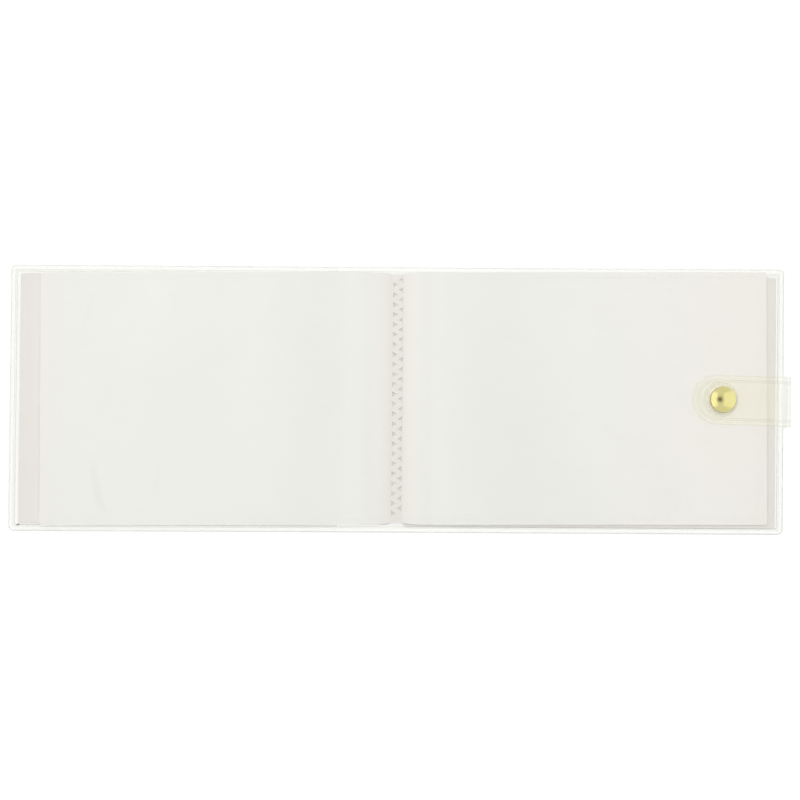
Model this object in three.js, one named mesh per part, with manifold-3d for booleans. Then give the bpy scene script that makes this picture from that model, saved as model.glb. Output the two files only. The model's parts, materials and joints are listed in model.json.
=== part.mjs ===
// Pocket photo album, lying open: clear vinyl cover with a snap strap, and a block of frosted
// pocket leaves welded together along the gutter. Millimetres, +Z up, +X towards the strap,
// origin on the table under the middle of the spine.

import * as THREE from 'three';
import { mergeVertices } from 'three/addons/utils/BufferGeometryUtils.js';
import Module from 'manifold-3d';

const wasm = await Module();
wasm.setup();

// Cover sheet, laid out flat
const COVER_LENGTH = 288.6;
const COVER_HEIGHT = 99;
const COVER_CORNER = 2;
const COVER_SHEET = 0.35;
const SPINE_WIDTH = 16;
const RIM_WELD_INSET = 1.6;
const RIM_WELD_WIDTH = 0.6;
const RIM_WELD_DEPTH = 0.12;

// Inner sleeves and the stiff end leaves that they hold
const SLEEVE_SHEET = 0.2;
const SLEEVE_MOUTH = 22;
const SLEEVE_EDGE_INSET = 0.3;
const SLEEVE_SLOPE = 0.6;
const END_LEAF_SHEET = 0.35;
const END_LEAF_HEIGHT = COVER_HEIGHT - 6;
const LEFT_END_LEAF_MARGIN = 3.7;
const RIGHT_END_LEAF_MARGIN = 3.1;

// Pocket leaves, each of two films welded along the top and the bottom
const LEAVES_PER_SIDE = 6;
const FILM = 0.08;
const POCKET_SLOT = 0.12;
const LEAF_GAP = 0.07;
const LEAF_HEIGHT = COVER_HEIGHT - 5;
const LEAF_CORNER = 1;
const LEFT_LEAF_MARGIN = 11.8;
const RIGHT_LEAF_MARGIN = 6.5;
const REFILL_SHIFT = 0.6;
const POCKET_WELD_INSET = 1.8;
const POCKET_WELD_WIDTH = 0.8;
const WELD_DOT_PITCH = 2.65;
const WELD_DOT_RADIUS = 0.4;

// Binding band, where all the folios are fused in a zigzag of small triangles
const BINDING_WIDTH = 4.5;
const BINDING_THICKNESS = 1.3;
const TRIANGLE_RADIUS = 1;
const TRIANGLE_DEPTH = 0.5;
const TRIANGLE_PITCH = 3.7;
const TRIANGLE_COLUMN_SPACING = 2.3;
const TRIANGLE_END_MARGIN = 2.2;

// Strap, one tongue with the cover sheet, folded up and in over the right-hand leaves
const STRAP_WIDTH = 18.4;
const STRAP_STAND_OFF = 2.4;
const STRAP_LENGTH = 35.6;
const STRAP_LINING = 0.2;
const STRAP_WELD_INSET = 1.8;
const STRAP_WELD_WIDTH = 0.5;
const STRAP_WELD_DEPTH = 0.1;
const STRAP_ROOT_FILLET = 1.5;
const STRAP_ROOT_LAP = 1;

// Ring snap
const SNAP_FROM_TIP = 10.1;
const CAP_RADIUS = 4.8;
const CAP_HEIGHT = 1.25;
const CAP_SHELL = 0.35;
const CAP_POST_RADIUS = 1.5;
const SOCKET_RADIUS = 4.7;
const SOCKET_HEIGHT = 1.5;
const SOCKET_WALL = 0.35;
const SOCKET_MOUTH_RADIUS = 2.5;
const SOCKET_CAVITY_RADIUS = 3.5;
const SPRING_WIRE_RADIUS = 0.22;
const SPRING_RING_RADIUS = 2.9;
const SPRING_OPENING = 0.7;
const STUD_FLANGE_RADIUS = 4.5;
const STUD_FLANGE = 0.4;
const STUD_HEIGHT = 2.5;
const STUD_HEAD_RADIUS = 2;
const STUD_NECK_RADIUS = 1.6;
const STUD_HEAD_LENGTH = 0.9;
const STUD_ROUNDING = 0.25;
const RIVET_HEAD_RADIUS = 4;
const RIVET_HEAD = 0.3;
const RIVET_SHANK_RADIUS = 0.9;
const RIVET_DEPTH = 1.1;

// Clearances
const SHEET_GAP = 0.05;
const FOLD_GAP = 0.3;
const RESTING_GAP = 0.2;
const HOLE_GAP = 0.2;
const GUTTER_GAP = 0.2;

// Facets
const CORNER_STEPS = 5;
const TURNED_STEPS = 36;
const DOME_STEPS = 10;
const SPRING_STEPS = 24;
const WIRE_STEPS = 6;

// How far a cutting tool reaches past the solid that it cuts
const CUT = 1;

// Reaches from the gutter, worked out from the cover's length
const EDGE_REACH = COVER_LENGTH / 2;
const LEFT_END_LEAF_REACH = EDGE_REACH - LEFT_END_LEAF_MARGIN;
const RIGHT_END_LEAF_REACH = EDGE_REACH - RIGHT_END_LEAF_MARGIN;
const LEFT_LEAF_REACH = EDGE_REACH - LEFT_LEAF_MARGIN;
const RIGHT_LEAF_REACH = EDGE_REACH - RIGHT_LEAF_MARGIN;
const STRAP_FOLD_REACH = EDGE_REACH + STRAP_STAND_OFF;
const STRAP_TIP_REACH = STRAP_FOLD_REACH - STRAP_LENGTH;
const SNAP_REACH = STRAP_TIP_REACH + SNAP_FROM_TIP;

// Heights of the stack, worked out from the table up
const END_LEAF_Z = COVER_SHEET + RIVET_HEAD + 2 * SHEET_GAP;
const SLEEVE_TOP_Z = END_LEAF_Z + END_LEAF_SHEET + SHEET_GAP;
const BLOCK_Z = SLEEVE_TOP_Z + SLEEVE_SHEET + SHEET_GAP;
const LEAF_SHEET = 2 * FILM + POCKET_SLOT;
const LEAF_PITCH = LEAF_SHEET + LEAF_GAP;
const BLOCK_TOP_Z = BLOCK_Z + LEAVES_PER_SIDE * LEAF_PITCH - LEAF_GAP;
const HINGE_Z = BLOCK_TOP_Z + FOLD_GAP / 2;
const BINDING_Z = BLOCK_Z;
const SOCKET_Z = BLOCK_TOP_Z + RESTING_GAP;
const LINING_Z = SOCKET_Z + SOCKET_HEIGHT + SHEET_GAP;
const FLAP_Z = LINING_Z + STRAP_LINING + SHEET_GAP;
const FLAP_TOP_Z = FLAP_Z + COVER_SHEET;

// Strap folds: the upright web stands between them
const WEB_SHEET = COVER_SHEET + STRAP_LINING;
const WEB_X = STRAP_FOLD_REACH - WEB_SHEET / 2;
const WEB_BOTTOM_Z = COVER_SHEET + FOLD_GAP / 2;
const WEB_TOP_Z = LINING_Z - FOLD_GAP / 2;
const STRAP_FLAT_END = WEB_X - WEB_SHEET / 2 - FOLD_GAP / 2;

// The stud sits where the strap's snap lands when the strap wraps the closed album
const WRAP_HEIGHT = 2 * HINGE_Z + SOCKET_HEIGHT;
const STUD_REACH = SNAP_REACH + WRAP_HEIGHT - (FLAP_Z - COVER_SHEET);

// The open left half lies on its stud, tilted by this much about the gutter
const STUD_CONTACT_X = STUD_REACH - STUD_HEAD_RADIUS;
const STUD_DROP = HINGE_Z + STUD_HEIGHT;
const LEFT_TILT =
  Math.atan2(STUD_DROP, STUD_CONTACT_X) - Math.asin(HINGE_Z / Math.hypot(STUD_CONTACT_X, STUD_DROP));

const clear = (color, opacity) =>
  new THREE.MeshStandardMaterial({ color, opacity, roughness: 0.2, transparent: true });
const matt = (color) => new THREE.MeshStandardMaterial({ color, roughness: 0.55 });
const metal = (color) => new THREE.MeshStandardMaterial({ color, roughness: 0.25, metalness: 1 });
const vinyl = () => clear(0xf1f2ec, 0.5);
const strapVinyl = () => clear(0xe9e8d6, 0.6);
const endSheet = () => matt(0xe5e2dc);
const frostedFilm = () => matt(0xeeeee8);
const fusedFilm = () => matt(0xe4e1d8);
const brass = () => metal(0xd9c25a);
const springSteel = () => metal(0xb9bcc0);

function solidOf(geometry) {
  const bare = geometry.clone();
  bare.deleteAttribute('normal');
  bare.deleteAttribute('uv');
  const merged = mergeVertices(bare, 1e-4);
  const vertProperties = new Float32Array(merged.attributes.position.array);
  const triVerts = new Uint32Array(merged.index.array);
  return new wasm.Manifold(new wasm.Mesh({ numProp: 3, vertProperties, triVerts }));
}

function geometryOf(solid) {
  const { vertProperties, triVerts } = solid.getMesh();
  const geometry = new THREE.BufferGeometry();
  geometry.setAttribute('position', new THREE.BufferAttribute(vertProperties, 3));
  geometry.setIndex(new THREE.BufferAttribute(triVerts, 1));
  return geometry;
}

function piece(parent, name, geometry, material) {
  const mesh = new THREE.Mesh(geometry, material);
  mesh.name = name;
  parent.add(mesh);
  return mesh;
}

function roundedRect(x0, x1, y0, y1, radius) {
  const shape = new THREE.Shape();
  shape.moveTo(x0 + radius, y0);
  shape.lineTo(x1 - radius, y0);
  shape.absarc(x1 - radius, y0 + radius, radius, -Math.PI / 2, 0);
  shape.lineTo(x1, y1 - radius);
  shape.absarc(x1 - radius, y1 - radius, radius, 0, Math.PI / 2);
  shape.lineTo(x0 + radius, y1);
  shape.absarc(x0 + radius, y1 - radius, radius, Math.PI / 2, Math.PI);
  shape.lineTo(x0, y0 + radius);
  shape.absarc(x0 + radius, y0 + radius, radius, Math.PI, 1.5 * Math.PI);
  return shape;
}

function plate(shape, z, thickness, curveSegments = CORNER_STEPS) {
  const settings = { depth: thickness, bevelEnabled: false, curveSegments };
  return new THREE.ExtrudeGeometry(shape, settings).translate(0, 0, z);
}

function block(x0, x1, y0, y1, z0, z1) {
  const size = [x1 - x0, y1 - y0, z1 - z0];
  return new THREE.BoxGeometry(...size).translate((x0 + x1) / 2, (y0 + y1) / 2, (z0 + z1) / 2);
}

function turned(profile) {
  const points = profile.map(([radius, z]) => new THREE.Vector2(radius, z));
  return new THREE.LatheGeometry(points, TURNED_STEPS).rotateX(Math.PI / 2);
}

function drill(radius, x, z0, z1) {
  const rod = new THREE.CylinderGeometry(radius, radius, z1 - z0, TURNED_STEPS).rotateX(Math.PI / 2);
  return rod.translate(x, 0, (z0 + z1) / 2);
}

// Outline of the cover sheet, or of a line that runs inside its edge
function coverOutline(inset) {
  const right = EDGE_REACH - inset;
  const top = COVER_HEIGHT / 2 - inset;
  return roundedRect(-right, right, -top, top, Math.max(COVER_CORNER - inset, COVER_SHEET));
}

// Groove that the rim weld leaves in a sheet whose upper face is at z
function rimGroove(z) {
  const groove = coverOutline(RIM_WELD_INSET);
  groove.holes.push(coverOutline(RIM_WELD_INSET + RIM_WELD_WIDTH));
  return solidOf(plate(groove, z - RIM_WELD_DEPTH, 2 * RIM_WELD_DEPTH));
}

// Root of the strap, filleted into the right-hand edge of the cover
function strapRoot() {
  const edge = EDGE_REACH;
  const half = STRAP_WIDTH / 2;
  const fillet = STRAP_ROOT_FILLET;
  const shape = new THREE.Shape();
  shape.moveTo(edge - STRAP_ROOT_LAP, -half - fillet);
  shape.lineTo(edge, -half - fillet);
  shape.absarc(edge + fillet, -half - fillet, fillet, Math.PI, Math.PI / 2, true);
  shape.lineTo(STRAP_FLAT_END, -half);
  shape.lineTo(STRAP_FLAT_END, half);
  shape.lineTo(edge + fillet, half);
  shape.absarc(edge + fillet, half + fillet, fillet, -Math.PI / 2, -Math.PI, true);
  shape.lineTo(edge - STRAP_ROOT_LAP, half + fillet);
  return plate(shape, 0, COVER_SHEET);
}

function coverSheet() {
  const flat = solidOf(plate(coverOutline(0), 0, COVER_SHEET));
  return flat.add(solidOf(strapRoot())).subtract(rimGroove(COVER_SHEET));
}

function coverSection(sheet, x0, x1) {
  const reach = COVER_HEIGHT;
  return sheet.intersect(solidOf(block(x0, x1, -reach, reach, -CUT, CUT)));
}

// A raised block with sloping sides, cut off flat underneath: the form that a sleeve is drawn over
function raisedForm(x0, x1, y0, y1, z0, z1) {
  const slope = SLEEVE_SLOPE;
  const shape = roundedRect(x0 + slope, x1 - slope, y0 + slope, y1 - slope, LEAF_CORNER);
  const settings = {
    depth: SHEET_GAP,
    bevelEnabled: true,
    bevelThickness: z1 - z0,
    bevelSize: slope,
    bevelSegments: 2,
    curveSegments: CORNER_STEPS,
  };
  const form = solidOf(new THREE.ExtrudeGeometry(shape, settings).translate(0, 0, z0 - SHEET_GAP));
  const under = block(x0 - CUT, x1 + CUT, y0 - CUT, y1 + CUT, 2 * z0 - z1 - CUT, z0);
  return form.subtract(solidOf(under));
}

// Clear sleeve on the right: welded flat round three sides, domed over the end leaf, open to the spine
function sleeve() {
  const seat = COVER_SHEET + SHEET_GAP;
  const past = SLEEVE_MOUTH - 3 * SLEEVE_SLOPE;
  const edge = EDGE_REACH - SLEEVE_EDGE_INSET;
  const halfEdge = COVER_HEIGHT / 2 - SLEEVE_EDGE_INSET;
  const foot = EDGE_REACH - RIM_WELD_INSET - RIM_WELD_WIDTH;
  const halfFoot = COVER_HEIGHT / 2 - RIM_WELD_INSET - RIM_WELD_WIDTH;
  const inside = foot - SLEEVE_SHEET;
  const halfInside = halfFoot - SLEEVE_SHEET;
  const border = roundedRect(past, edge, -halfEdge, halfEdge, COVER_CORNER);
  const rim = solidOf(plate(border, seat, SLEEVE_SHEET)).subtract(rimGroove(seat + SLEEVE_SHEET));
  const dome = raisedForm(past, foot, -halfFoot, halfFoot, seat, SLEEVE_TOP_Z + SLEEVE_SHEET);
  const hollow = raisedForm(past, inside, -halfInside, halfInside, seat - SHEET_GAP, SLEEVE_TOP_Z);
  const mouth = solidOf(block(0, SLEEVE_MOUTH, -COVER_HEIGHT, COVER_HEIGHT, -CUT, 2 * SLEEVE_TOP_Z));
  return geometryOf(rim.add(dome).subtract(hollow).subtract(mouth));
}

function endLeaf(reach) {
  const start = BINDING_WIDTH / 2 + GUTTER_GAP;
  const half = END_LEAF_HEIGHT / 2;
  return plate(roundedRect(start, reach, -half, half, LEAF_CORNER), END_LEAF_Z, END_LEAF_SHEET);
}

function filmOutline(reach) {
  const start = BINDING_WIDTH / 2 + GUTTER_GAP;
  const half = LEAF_HEIGHT / 2;
  return roundedRect(start, reach, -half, half, LEAF_CORNER);
}

function triangle(x, y, radius, pointing) {
  const shape = new THREE.Shape();
  const corners = [0, 1, 2].map((i) => pointing + (i * 2 * Math.PI) / 3);
  corners.forEach((angle, i) => {
    const px = x + radius * Math.cos(angle);
    const py = y + radius * Math.sin(angle);
    if (i) shape.lineTo(px, py);
    else shape.moveTo(px, py);
  });
  shape.closePath();
  return shape;
}

// Lower film of a pocket, with the two weld ribs that the upper film is sealed to
function lowerFilm(reach, z) {
  const start = BINDING_WIDTH / 2 + GUTTER_GAP + LEAF_CORNER;
  const ribTop = z + FILM + POCKET_SLOT - FILM / 4;
  let film = solidOf(plate(filmOutline(reach), z, FILM));
  for (const side of [-1, 1]) {
    const y = side * (LEAF_HEIGHT / 2 - POCKET_WELD_INSET);
    const half = POCKET_WELD_WIDTH / 2;
    const rib = block(start, reach - LEAF_CORNER, y - half, y + half, z + FILM / 2, ribTop);
    film = film.add(solidOf(rib));
  }
  return geometryOf(film);
}

// Upper film of the leaf that faces the reader, with its rows of pressed triangular weld dots
function dottedFilm(reach, z) {
  const dots = [];
  const start = BINDING_WIDTH / 2 + GUTTER_GAP + WELD_DOT_PITCH;
  const count = Math.floor((reach - start) / WELD_DOT_PITCH);
  for (const side of [-1, 1]) {
    const y = side * (LEAF_HEIGHT / 2 - POCKET_WELD_INSET);
    for (let i = 0; i < count; i += 1) {
      dots.push(triangle(start + i * WELD_DOT_PITCH, y, WELD_DOT_RADIUS, (side * Math.PI) / 2));
    }
  }
  const film = solidOf(plate(filmOutline(reach), z, FILM));
  return geometryOf(film.subtract(solidOf(plate(dots, z + FILM / 2, FILM))));
}

// Fused gutter band: two staggered columns of triangles that point at each other
function bindingBand() {
  const half = LEAF_HEIGHT / 2;
  const outline = roundedRect(-BINDING_WIDTH / 2, BINDING_WIDTH / 2, -half, half, LEAF_CORNER);
  const travel = LEAF_HEIGHT - 2 * TRIANGLE_END_MARGIN;
  const count = Math.floor((travel - TRIANGLE_PITCH / 2) / TRIANGLE_PITCH) + 1;
  const first = -((count - 0.5) * TRIANGLE_PITCH) / 2;
  const column = TRIANGLE_COLUMN_SPACING / 2;
  const triangles = [];
  for (let i = 0; i < count; i += 1) {
    const y = first + i * TRIANGLE_PITCH;
    triangles.push(triangle(-column, y, TRIANGLE_RADIUS, 0));
    triangles.push(triangle(column, y + TRIANGLE_PITCH / 2, TRIANGLE_RADIUS, Math.PI));
  }
  const band = solidOf(plate(outline, BINDING_Z, BINDING_THICKNESS));
  const floor = BINDING_Z + BINDING_THICKNESS - TRIANGLE_DEPTH;
  return geometryOf(band.subtract(solidOf(plate(triangles, floor, 2 * TRIANGLE_DEPTH))));
}

function strapOutline(inset, end) {
  const radius = STRAP_WIDTH / 2 - inset;
  const centre = STRAP_TIP_REACH + STRAP_WIDTH / 2;
  const shape = new THREE.Shape();
  shape.moveTo(end, -radius);
  shape.lineTo(end, radius);
  shape.lineTo(centre, radius);
  shape.absarc(centre, 0, radius, Math.PI / 2, 1.5 * Math.PI);
  return shape;
}

function snapHole(radius, z) {
  return solidOf(drill(radius, SNAP_REACH, z - CUT, z + CUT));
}

// Upper layer of the flap: the cover sheet itself, with the weld line round the strap's edge
function strapFlap() {
  const sheet = plate(strapOutline(0, STRAP_FLAT_END), FLAP_Z, COVER_SHEET, 4 * CORNER_STEPS);
  const line = strapOutline(STRAP_WELD_INSET, STRAP_FLAT_END + CUT);
  line.holes.push(strapOutline(STRAP_WELD_INSET + STRAP_WELD_WIDTH, STRAP_FLAT_END + CUT / 2));
  const groove = plate(line, FLAP_TOP_Z - STRAP_WELD_DEPTH, 2 * STRAP_WELD_DEPTH, 4 * CORNER_STEPS);
  const post = snapHole(CAP_POST_RADIUS + HOLE_GAP, FLAP_Z);
  return geometryOf(solidOf(sheet).subtract(solidOf(groove)).subtract(post));
}

function strapLining() {
  const sheet = plate(strapOutline(0, STRAP_FLAT_END), LINING_Z, STRAP_LINING, 4 * CORNER_STEPS);
  return geometryOf(solidOf(sheet).subtract(snapHole(CAP_POST_RADIUS + HOLE_GAP, LINING_Z)));
}

// Upright part of the strap between its two folds, rounded where it turns
function strapWeb() {
  const half = WEB_SHEET / 2;
  const rounding = half - SHEET_GAP / 2;
  const profile = roundedRect(WEB_X - half, WEB_X + half, WEB_BOTTOM_Z, WEB_TOP_Z, rounding);
  const settings = { depth: STRAP_WIDTH, bevelEnabled: false, curveSegments: CORNER_STEPS };
  const upright = new THREE.ExtrudeGeometry(profile, settings).rotateX(Math.PI / 2);
  return upright.translate(0, STRAP_WIDTH / 2, 0);
}

// Domed brass cap whose post runs down through the strap and is flared inside the socket
function snapCap() {
  const profile = [];
  const flareTop = SOCKET_Z + SOCKET_HEIGHT - SOCKET_WALL - SHEET_GAP;
  const domeZ = FLAP_TOP_Z + SHEET_GAP;
  profile.push([0, flareTop - CAP_SHELL]);
  profile.push([CAP_POST_RADIUS + CAP_SHELL, flareTop - CAP_SHELL]);
  profile.push([CAP_POST_RADIUS + CAP_SHELL, flareTop]);
  profile.push([CAP_POST_RADIUS, flareTop]);
  profile.push([CAP_POST_RADIUS, domeZ + CAP_HEIGHT - 2 * CAP_SHELL]);
  profile.push([CAP_RADIUS - 2 * CAP_SHELL, domeZ + CAP_SHELL]);
  profile.push([CAP_RADIUS - CAP_SHELL, domeZ]);
  for (let i = DOME_STEPS; i > 0; i -= 1) {
    const radius = CAP_RADIUS * Math.sin((i / DOME_STEPS) * (Math.PI / 2));
    const rise = Math.sqrt(1 - (radius / CAP_RADIUS) ** 3);
    profile.push([radius, domeZ + CAP_SHELL / 2 + (CAP_HEIGHT - CAP_SHELL / 2) * rise]);
  }
  profile.push([0, domeZ + CAP_HEIGHT]);
  return turned(profile).translate(SNAP_REACH, 0, 0);
}

// Socket: a plate against the lining, a round wall and a lip that keeps the ring spring in
function snapSocket() {
  const top = SOCKET_Z + SOCKET_HEIGHT;
  const hole = CAP_POST_RADIUS + HOLE_GAP;
  const profile = [
    [hole, top],
    [hole, top - SOCKET_WALL],
    [SOCKET_CAVITY_RADIUS, top - SOCKET_WALL],
    [SOCKET_CAVITY_RADIUS, SOCKET_Z + SOCKET_WALL],
    [SOCKET_MOUTH_RADIUS, SOCKET_Z + SOCKET_WALL],
    [SOCKET_MOUTH_RADIUS, SOCKET_Z],
    [SOCKET_RADIUS - SOCKET_WALL, SOCKET_Z],
    [SOCKET_RADIUS, SOCKET_Z + SOCKET_WALL],
    [SOCKET_RADIUS, top],
    [hole, top],
  ];
  return turned(profile).translate(SNAP_REACH, 0, 0);
}

// Open ring of wire that grips the stud's head
function snapSpring() {
  const points = [];
  for (let i = 0; i <= SPRING_STEPS; i += 1) {
    const angle = SPRING_OPENING / 2 + (i / SPRING_STEPS) * (2 * Math.PI - SPRING_OPENING);
    const x = SPRING_RING_RADIUS * Math.cos(angle);
    const y = SPRING_RING_RADIUS * Math.sin(angle);
    points.push(new THREE.Vector3(x, y, 0));
  }
  const wire = new THREE.Shape().absarc(0, 0, SPRING_WIRE_RADIUS, 0, 2 * Math.PI);
  const settings = {
    steps: SPRING_STEPS,
    bevelEnabled: false,
    curveSegments: WIRE_STEPS,
    extrudePath: new THREE.CatmullRomCurve3(points),
  };
  const cavityFloor = SOCKET_Z + SOCKET_WALL;
  const z = cavityFloor + SPRING_WIRE_RADIUS + 2 * SHEET_GAP;
  return new THREE.ExtrudeGeometry(wire, settings).translate(SNAP_REACH, 0, z);
}

// Stud on the outside of the front cover: flange, waisted neck and round head, bored for the rivet
function snapStud() {
  const flangeTop = -SHEET_GAP;
  const flangeBottom = flangeTop - STUD_FLANGE;
  const tip = -STUD_HEIGHT;
  const headTop = tip + STUD_HEAD_LENGTH;
  const bore = RIVET_SHANK_RADIUS + HOLE_GAP / 2;
  const boreEnd = -RIVET_DEPTH - SHEET_GAP;
  const rounding = STUD_ROUNDING;
  const profile = [
    [0, tip],
    [STUD_HEAD_RADIUS - rounding, tip],
    [STUD_HEAD_RADIUS, tip + rounding],
    [STUD_HEAD_RADIUS, headTop - rounding],
    [STUD_NECK_RADIUS, headTop + rounding],
    [STUD_NECK_RADIUS, flangeBottom - rounding],
    [STUD_FLANGE_RADIUS - rounding, flangeBottom],
    [STUD_FLANGE_RADIUS, flangeTop],
    [bore, flangeTop],
    [bore, boreEnd],
    [0, boreEnd],
  ];
  return turned(profile).translate(-STUD_REACH, 0, 0);
}

// Rivet that holds the stud: a flat head inside the cover and a shank down into the stud
function snapRivet() {
  const headZ = COVER_SHEET + SHEET_GAP;
  const profile = [
    [0, -RIVET_DEPTH],
    [RIVET_SHANK_RADIUS, -RIVET_DEPTH],
    [RIVET_SHANK_RADIUS, headZ],
    [RIVET_HEAD_RADIUS, headZ],
    [RIVET_HEAD_RADIUS - RIVET_HEAD / 2, headZ + RIVET_HEAD],
    [0, headZ + RIVET_HEAD],
  ];
  return turned(profile).translate(-STUD_REACH, 0, 0);
}

const album = new THREE.Group();

// The left half turns about the gutter line, and at rest it lies on its stud
const leftHalf = new THREE.Group();
leftHalf.position.z = HINGE_Z;
leftHalf.rotation.y = LEFT_TILT;
album.add(leftHalf);
const leftPieces = new THREE.Group();
leftPieces.position.z = -HINGE_Z;
leftHalf.add(leftPieces);

// Pieces drawn for the right-hand side are turned half round to serve the left
const turnedOver = (geometry) => geometry.rotateZ(Math.PI);

// The leaves and their band lie a little nearer to the cover's top edge than to its bottom edge
const shifted = (geometry) => geometry.translate(0, REFILL_SHIFT, 0);

// Cover in three lengths: back panel with the strap root, flexible spine strip, front panel
const sheet = coverSheet();
const spineHalf = SPINE_WIDTH / 2;
const coverEnd = STRAP_FOLD_REACH;
const rivetHole = solidOf(drill(RIVET_SHANK_RADIUS + HOLE_GAP, -STUD_REACH, -CUT, CUT));
const frontPanel = coverSection(sheet, -coverEnd, -spineHalf - FOLD_GAP).subtract(rivetHole);
piece(album, 'back_cover', geometryOf(coverSection(sheet, spineHalf + FOLD_GAP / 2, coverEnd)), vinyl());
piece(album, 'spine_strip', geometryOf(coverSection(sheet, -spineHalf, spineHalf)), vinyl());
piece(leftPieces, 'front_cover', geometryOf(frontPanel), vinyl());

// Sleeves and end leaves
piece(album, 'back_sleeve', sleeve(), vinyl());
piece(leftPieces, 'front_sleeve', turnedOver(sleeve()), vinyl());
piece(album, 'back_end_leaf', endLeaf(RIGHT_END_LEAF_REACH), endSheet());
piece(leftPieces, 'front_end_leaf', turnedOver(endLeaf(LEFT_END_LEAF_REACH)), endSheet());

// Pocket leaves, numbered from the open spread down
for (let leaf = 1; leaf <= LEAVES_PER_SIDE; leaf += 1) {
  const z = BLOCK_Z + (LEAVES_PER_SIDE - leaf) * LEAF_PITCH;
  const upperZ = z + FILM + POCKET_SLOT;
  const upperFilm = (reach) =>
    leaf === 1 ? dottedFilm(reach, upperZ) : plate(filmOutline(reach), upperZ, FILM);
  const leftLower = turnedOver(lowerFilm(LEFT_LEAF_REACH, z));
  const leftUpper = turnedOver(upperFilm(LEFT_LEAF_REACH));
  const rightLower = lowerFilm(RIGHT_LEAF_REACH, z);
  const rightUpper = upperFilm(RIGHT_LEAF_REACH);
  piece(leftPieces, `left_leaf_${leaf}_lower_film`, shifted(leftLower), frostedFilm());
  piece(leftPieces, `left_leaf_${leaf}_upper_film`, shifted(leftUpper), frostedFilm());
  piece(album, `right_leaf_${leaf}_lower_film`, shifted(rightLower), frostedFilm());
  piece(album, `right_leaf_${leaf}_upper_film`, shifted(rightUpper), frostedFilm());
}

// Gutter band
piece(album, 'binding_band', shifted(bindingBand()), fusedFilm());

// Strap and the snap's two halves
piece(album, 'strap_web', strapWeb(), strapVinyl());
piece(album, 'strap_flap', strapFlap(), strapVinyl());
piece(album, 'strap_lining', strapLining(), strapVinyl());
piece(album, 'snap_cap', snapCap(), brass());
piece(album, 'snap_socket', snapSocket(), brass());
piece(album, 'snap_spring', snapSpring(), springSteel());
piece(leftPieces, 'snap_stud', snapStud(), brass());
piece(leftPieces, 'snap_rivet', snapRivet(), brass());

export default album;
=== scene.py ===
"""The looks of a pocket photo album that lies open: clear vinyl cover, frosted pocket leaves,
zigzag gutter weld, and a folded-in strap with a brass ring snap."""

import json
import math

import bmesh
import bpy
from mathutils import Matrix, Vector, noise


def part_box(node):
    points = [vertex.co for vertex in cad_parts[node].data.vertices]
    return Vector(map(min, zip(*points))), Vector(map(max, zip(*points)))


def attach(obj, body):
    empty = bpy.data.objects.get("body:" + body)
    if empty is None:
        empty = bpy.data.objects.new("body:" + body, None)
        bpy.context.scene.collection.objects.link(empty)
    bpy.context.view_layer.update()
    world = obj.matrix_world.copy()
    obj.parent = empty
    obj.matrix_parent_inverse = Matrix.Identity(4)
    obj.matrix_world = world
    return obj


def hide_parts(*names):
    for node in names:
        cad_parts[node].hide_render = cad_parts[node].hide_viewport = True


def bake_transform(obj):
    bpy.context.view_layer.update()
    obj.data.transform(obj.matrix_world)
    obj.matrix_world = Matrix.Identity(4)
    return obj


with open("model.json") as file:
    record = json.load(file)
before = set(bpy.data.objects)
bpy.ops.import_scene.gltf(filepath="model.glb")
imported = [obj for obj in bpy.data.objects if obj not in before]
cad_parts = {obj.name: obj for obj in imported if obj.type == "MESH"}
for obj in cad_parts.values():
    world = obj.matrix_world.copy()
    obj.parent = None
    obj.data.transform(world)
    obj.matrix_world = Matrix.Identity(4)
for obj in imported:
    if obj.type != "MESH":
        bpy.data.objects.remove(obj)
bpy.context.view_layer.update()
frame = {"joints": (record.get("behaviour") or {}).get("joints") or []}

# The album lies open on a white table and is photographed from straight above. The camera is
# turned by a third of a degree against the cover, and looks at a point just right of the gutter.
CAMERA_HEIGHT = 0.95
CAMERA_TURN = math.radians(0.34)
PICTURE_WIDTH = 0.2988
PICTURE_CENTRE = (0.0012, 0.0)

camera_data = bpy.data.cameras.new("camera")
camera_data.lens = camera_data.sensor_width * CAMERA_HEIGHT / PICTURE_WIDTH
camera = bpy.data.objects.new("camera", camera_data)
camera.location = (*PICTURE_CENTRE, CAMERA_HEIGHT)
camera.rotation_euler = (0, 0, CAMERA_TURN)
bpy.context.scene.collection.objects.link(camera)
bpy.context.scene.camera = camera
bpy.context.scene.view_settings.view_transform = "Standard"

# A look through the strap and the pocket leaves passes dozens of clear surfaces.
CLEAR_SURFACES = 64

bpy.context.scene.cycles.transparent_max_bounces = CLEAR_SURFACES

# The room is a plain even light. Seen directly, in metal or through glass it is white.
ROOM_LIGHT = 0.18


def feed(tree, socket, value):
    """Gives a socket a number or colour of its own, or another node's output."""
    if isinstance(value, (float, tuple)):
        socket.default_value = value
    else:
        tree.links.new(value, socket)


def calculated(tree, operation, first, second=0.0):
    """The result of a sum; each of its values is a number or a node's output."""
    step = tree.nodes.new("ShaderNodeMath")
    step.operation = operation
    feed(tree, step.inputs[0], first)
    feed(tree, step.inputs[1], second)
    return step.outputs[0]


def seen_directly(tree):
    """A mask that is 1 for what the camera sees directly, in a mirror or through glass."""
    ray = tree.nodes.new("ShaderNodeLightPath").outputs
    mirrored = calculated(tree, "MAXIMUM", ray["Is Camera Ray"], ray["Is Glossy Ray"])
    return calculated(tree, "MAXIMUM", mirrored, ray["Is Transmission Ray"])


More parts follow.
